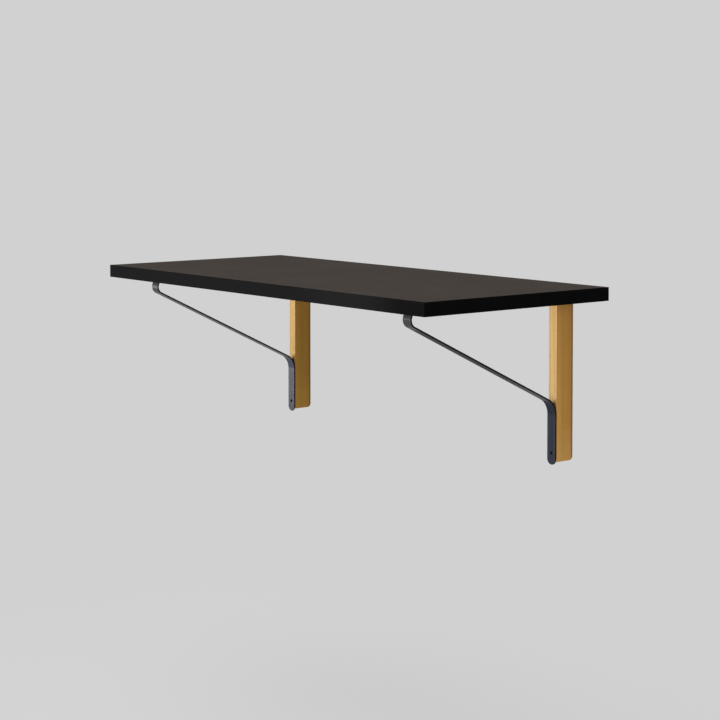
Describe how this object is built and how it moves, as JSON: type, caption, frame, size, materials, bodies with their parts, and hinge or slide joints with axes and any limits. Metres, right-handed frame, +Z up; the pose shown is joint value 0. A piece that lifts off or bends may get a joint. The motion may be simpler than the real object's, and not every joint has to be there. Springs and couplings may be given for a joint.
{
  "type": "wall console table",
  "caption": "Wall-hung console board on upright wooden battens, braced by bent flat steel straps that run from under its front back to the battens' feet.",
  "frame": {"origin": "on the wall plane, midway between the lower wall screw holes of both battens", "axes": "+X along the wall to the right as seen from the room, +Y into the wall, +Z up"},
  "size_m": [1, 0.44, 0.3325],
  "materials": {
    "panel_core": "plain fibre panel, hidden inside the board",
    "top_surface": "matt warm black sheet",
    "backing": "matt black backing sheet",
    "edge_band": "matt black edge band",
    "oak": "oiled solid oak with straight grain",
    "coated_steel": "fine matt blue-black powder coat",
    "zinc_plated_steel": "zinc plated",
    "black_screw": "black coated screw"
  },
  "bodies": {
    "root": {"core_board": "panel_core", "top_sheet": "top_surface", "backing_sheet": "backing", "front_edge_band": "edge_band", "rear_edge_band": "edge_band", "left_edge_band": "edge_band", "right_edge_band": "edge_band", "left_batten": "oak", "right_batten": "oak", "left_strap": "coated_steel", "right_strap": "coated_steel", "left_keyhole_plate": "zinc_plated_steel", "right_keyhole_plate": "zinc_plated_steel", "left_keyhole_screws": "zinc_plated_steel", "right_keyhole_screws": "zinc_plated_steel", "left_board_screws": "black_screw", "right_board_screws": "black_screw", "left_batten_screws": "black_screw", "right_batten_screws": "black_screw"}
  },
  "joints": []
}
